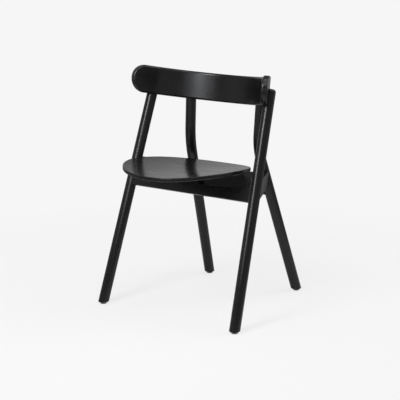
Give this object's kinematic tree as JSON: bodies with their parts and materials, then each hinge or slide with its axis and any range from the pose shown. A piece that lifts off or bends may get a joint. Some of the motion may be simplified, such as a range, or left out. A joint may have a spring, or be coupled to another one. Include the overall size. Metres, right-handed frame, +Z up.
{
  "type": "wooden chair",
  "caption": "Black stained wooden chair with round splayed legs, a dished round seat and a low bent backrest with rounded ends.",
  "frame": {"origin": "on the floor, under the middle of the chair's width and depth", "axes": "+X to the right seen from the front, +Y to the back, +Z up; the front of the seat points to -Y"},
  "size_m": [0.5536, 0.61, 0.7683],
  "materials": {
    "stained_wood": "satin black stain over open grain",
    "plain_wood": "bare turned hardwood",
    "zinc_steel": "bright zinc plate",
    "glide_plastic": "moulded, light grey"
  },
  "bodies": {
    "root": {"seat_shell": "stained_wood", "backrest": "stained_wood", "front_rail": "stained_wood", "rear_rail": "stained_wood", "front_leg_left": "stained_wood", "rear_leg_left": "stained_wood", "side_rail_left": "stained_wood", "back_plug_left": "stained_wood", "front_leg_right": "stained_wood", "rear_leg_right": "stained_wood", "side_rail_right": "stained_wood", "back_plug_right": "stained_wood", "front_rail_dowel_left_lower": "plain_wood", "rear_rail_dowel_left_lower": "plain_wood", "side_rail_front_dowel_left_lower": "plain_wood", "side_rail_rear_dowel_left_lower": "plain_wood", "back_dowel_left_lower": "plain_wood", "back_screw_left_lower": "zinc_steel", "front_rail_dowel_left_upper": "plain_wood", "rear_rail_dowel_left_upper": "plain_wood", "side_rail_front_dowel_left_upper": "plain_wood", "side_rail_rear_dowel_left_upper": "plain_wood", "back_dowel_left_upper": "plain_wood", "back_screw_left_upper": "zinc_steel", "seat_screw_front_left": "zinc_steel", "glide_nail_front_left": "zinc_steel", "glide_front_left": "glide_plastic", "seat_screw_rear_left": "zinc_steel", "glide_nail_rear_left": "zinc_steel", "glide_rear_left": "glide_plastic", "front_rail_dowel_right_lower": "plain_wood", "rear_rail_dowel_right_lower": "plain_wood", "side_rail_front_dowel_right_lower": "plain_wood", "side_rail_rear_dowel_right_lower": "plain_wood", "back_dowel_right_lower": "plain_wood", "back_screw_right_lower": "zinc_steel", "front_rail_dowel_right_upper": "plain_wood", "rear_rail_dowel_right_upper": "plain_wood", "side_rail_front_dowel_right_upper": "plain_wood", "side_rail_rear_dowel_right_upper": "plain_wood", "back_dowel_right_upper": "plain_wood", "back_screw_right_upper": "zinc_steel", "seat_screw_front_right": "zinc_steel", "glide_nail_front_right": "zinc_steel", "glide_front_right": "glide_plastic", "seat_screw_rear_right": "zinc_steel", "glide_nail_rear_right": "zinc_steel", "glide_rear_right": "glide_plastic"}
  },
  "joints": []
}
